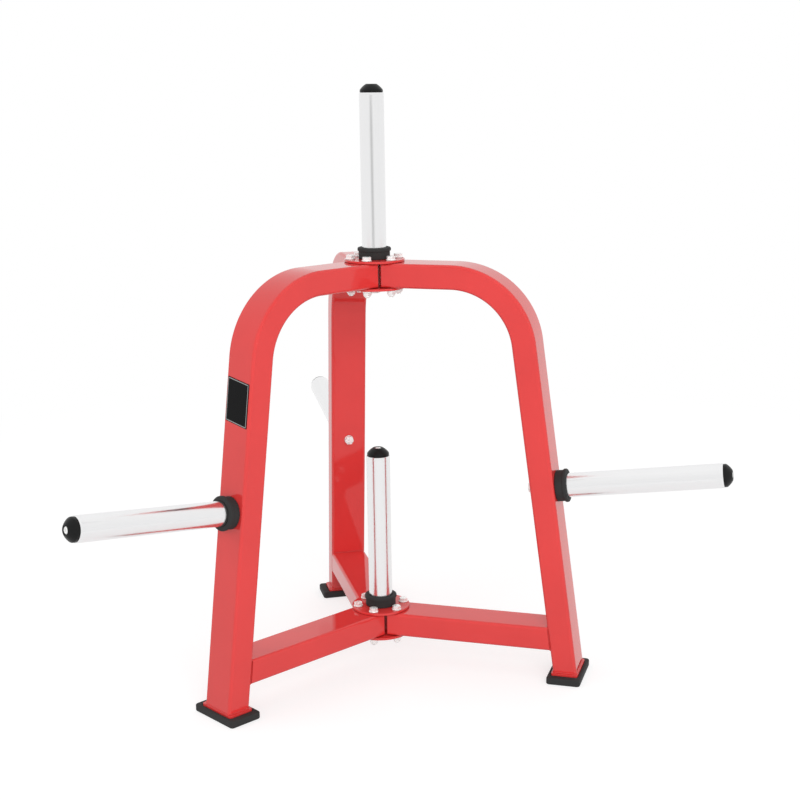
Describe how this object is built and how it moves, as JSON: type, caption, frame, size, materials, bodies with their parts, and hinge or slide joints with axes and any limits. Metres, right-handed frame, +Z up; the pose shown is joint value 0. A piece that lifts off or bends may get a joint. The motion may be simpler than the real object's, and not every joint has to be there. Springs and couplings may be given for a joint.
{
  "type": "bumper plate rack",
  "caption": "Free-standing rack of bent rectangular tube that stores weight plates on chrome pegs, with rubber feet and rubber plate collars",
  "frame": {"origin": "on the floor, under the middle of the rack's outer box", "axes": "+Z up; +Y along the rear leg and its peg, the way out at the back; +X to the right seen from the front, where the two front legs and their pegs spread"},
  "size_m": [1.2892, 1.1226, 1.2199],
  "materials": {
    "red_paint": "gloss red powder coat",
    "chrome": "bright chrome plate",
    "black_rubber": "matt moulded black rubber",
    "black_plastic": "satin moulded black plastic",
    "zinc_steel": "bright zinc plate",
    "plain_steel": "turned plain steel"
  },
  "bodies": {
    "root": {"rear_leg_tube": "red_paint", "left_leg_tube": "red_paint", "right_leg_tube": "red_paint", "rear_stretcher": "red_paint", "left_stretcher": "red_paint", "right_stretcher": "red_paint", "rear_foot_plate": "red_paint", "left_foot_plate": "red_paint", "right_foot_plate": "red_paint", "rear_rubber_foot": "black_rubber", "left_rubber_foot": "black_rubber", "right_rubber_foot": "black_rubber", "top_hub_upper_plate": "red_paint", "top_hub_lower_plate": "red_paint", "base_hub_upper_plate": "red_paint", "base_hub_lower_plate": "red_paint", "top_hub_bolt_1": "zinc_steel", "top_hub_bolt_2": "zinc_steel", "top_hub_bolt_3": "zinc_steel", "top_hub_bolt_4": "zinc_steel", "top_hub_bolt_5": "zinc_steel", "top_hub_bolt_6": "zinc_steel", "base_hub_bolt_1": "zinc_steel", "base_hub_bolt_2": "zinc_steel", "base_hub_bolt_3": "zinc_steel", "base_hub_bolt_4": "zinc_steel", "base_hub_bolt_5": "zinc_steel", "base_hub_bolt_6": "zinc_steel", "top_peg_tube": "chrome", "top_peg_plug": "plain_steel", "top_peg_collar": "black_rubber", "top_peg_cap": "black_plastic", "top_peg_cap_screw": "zinc_steel", "top_peg_bolt": "zinc_steel", "base_peg_tube": "chrome", "base_peg_plug": "plain_steel", "base_peg_collar": "black_rubber", "base_peg_cap": "black_plastic", "base_peg_cap_screw": "zinc_steel", "base_peg_bolt": "zinc_steel", "rear_peg_tube": "chrome", "rear_peg_plug": "plain_steel", "rear_peg_collar": "black_rubber", "rear_peg_cap": "black_plastic", "rear_peg_cap_screw": "zinc_steel", "rear_peg_bolt": "zinc_steel", "left_peg_tube": "chrome", "left_peg_plug": "plain_steel", "left_peg_collar": "black_rubber", "left_peg_cap": "black_plastic", "left_peg_cap_screw": "zinc_steel", "left_peg_bolt": "zinc_steel", "right_peg_tube": "chrome", "right_peg_plug": "plain_steel", "right_peg_collar": "black_rubber", "right_peg_cap": "black_plastic", "right_peg_cap_screw": "zinc_steel", "right_peg_bolt": "zinc_steel"}
  },
  "joints": []
}
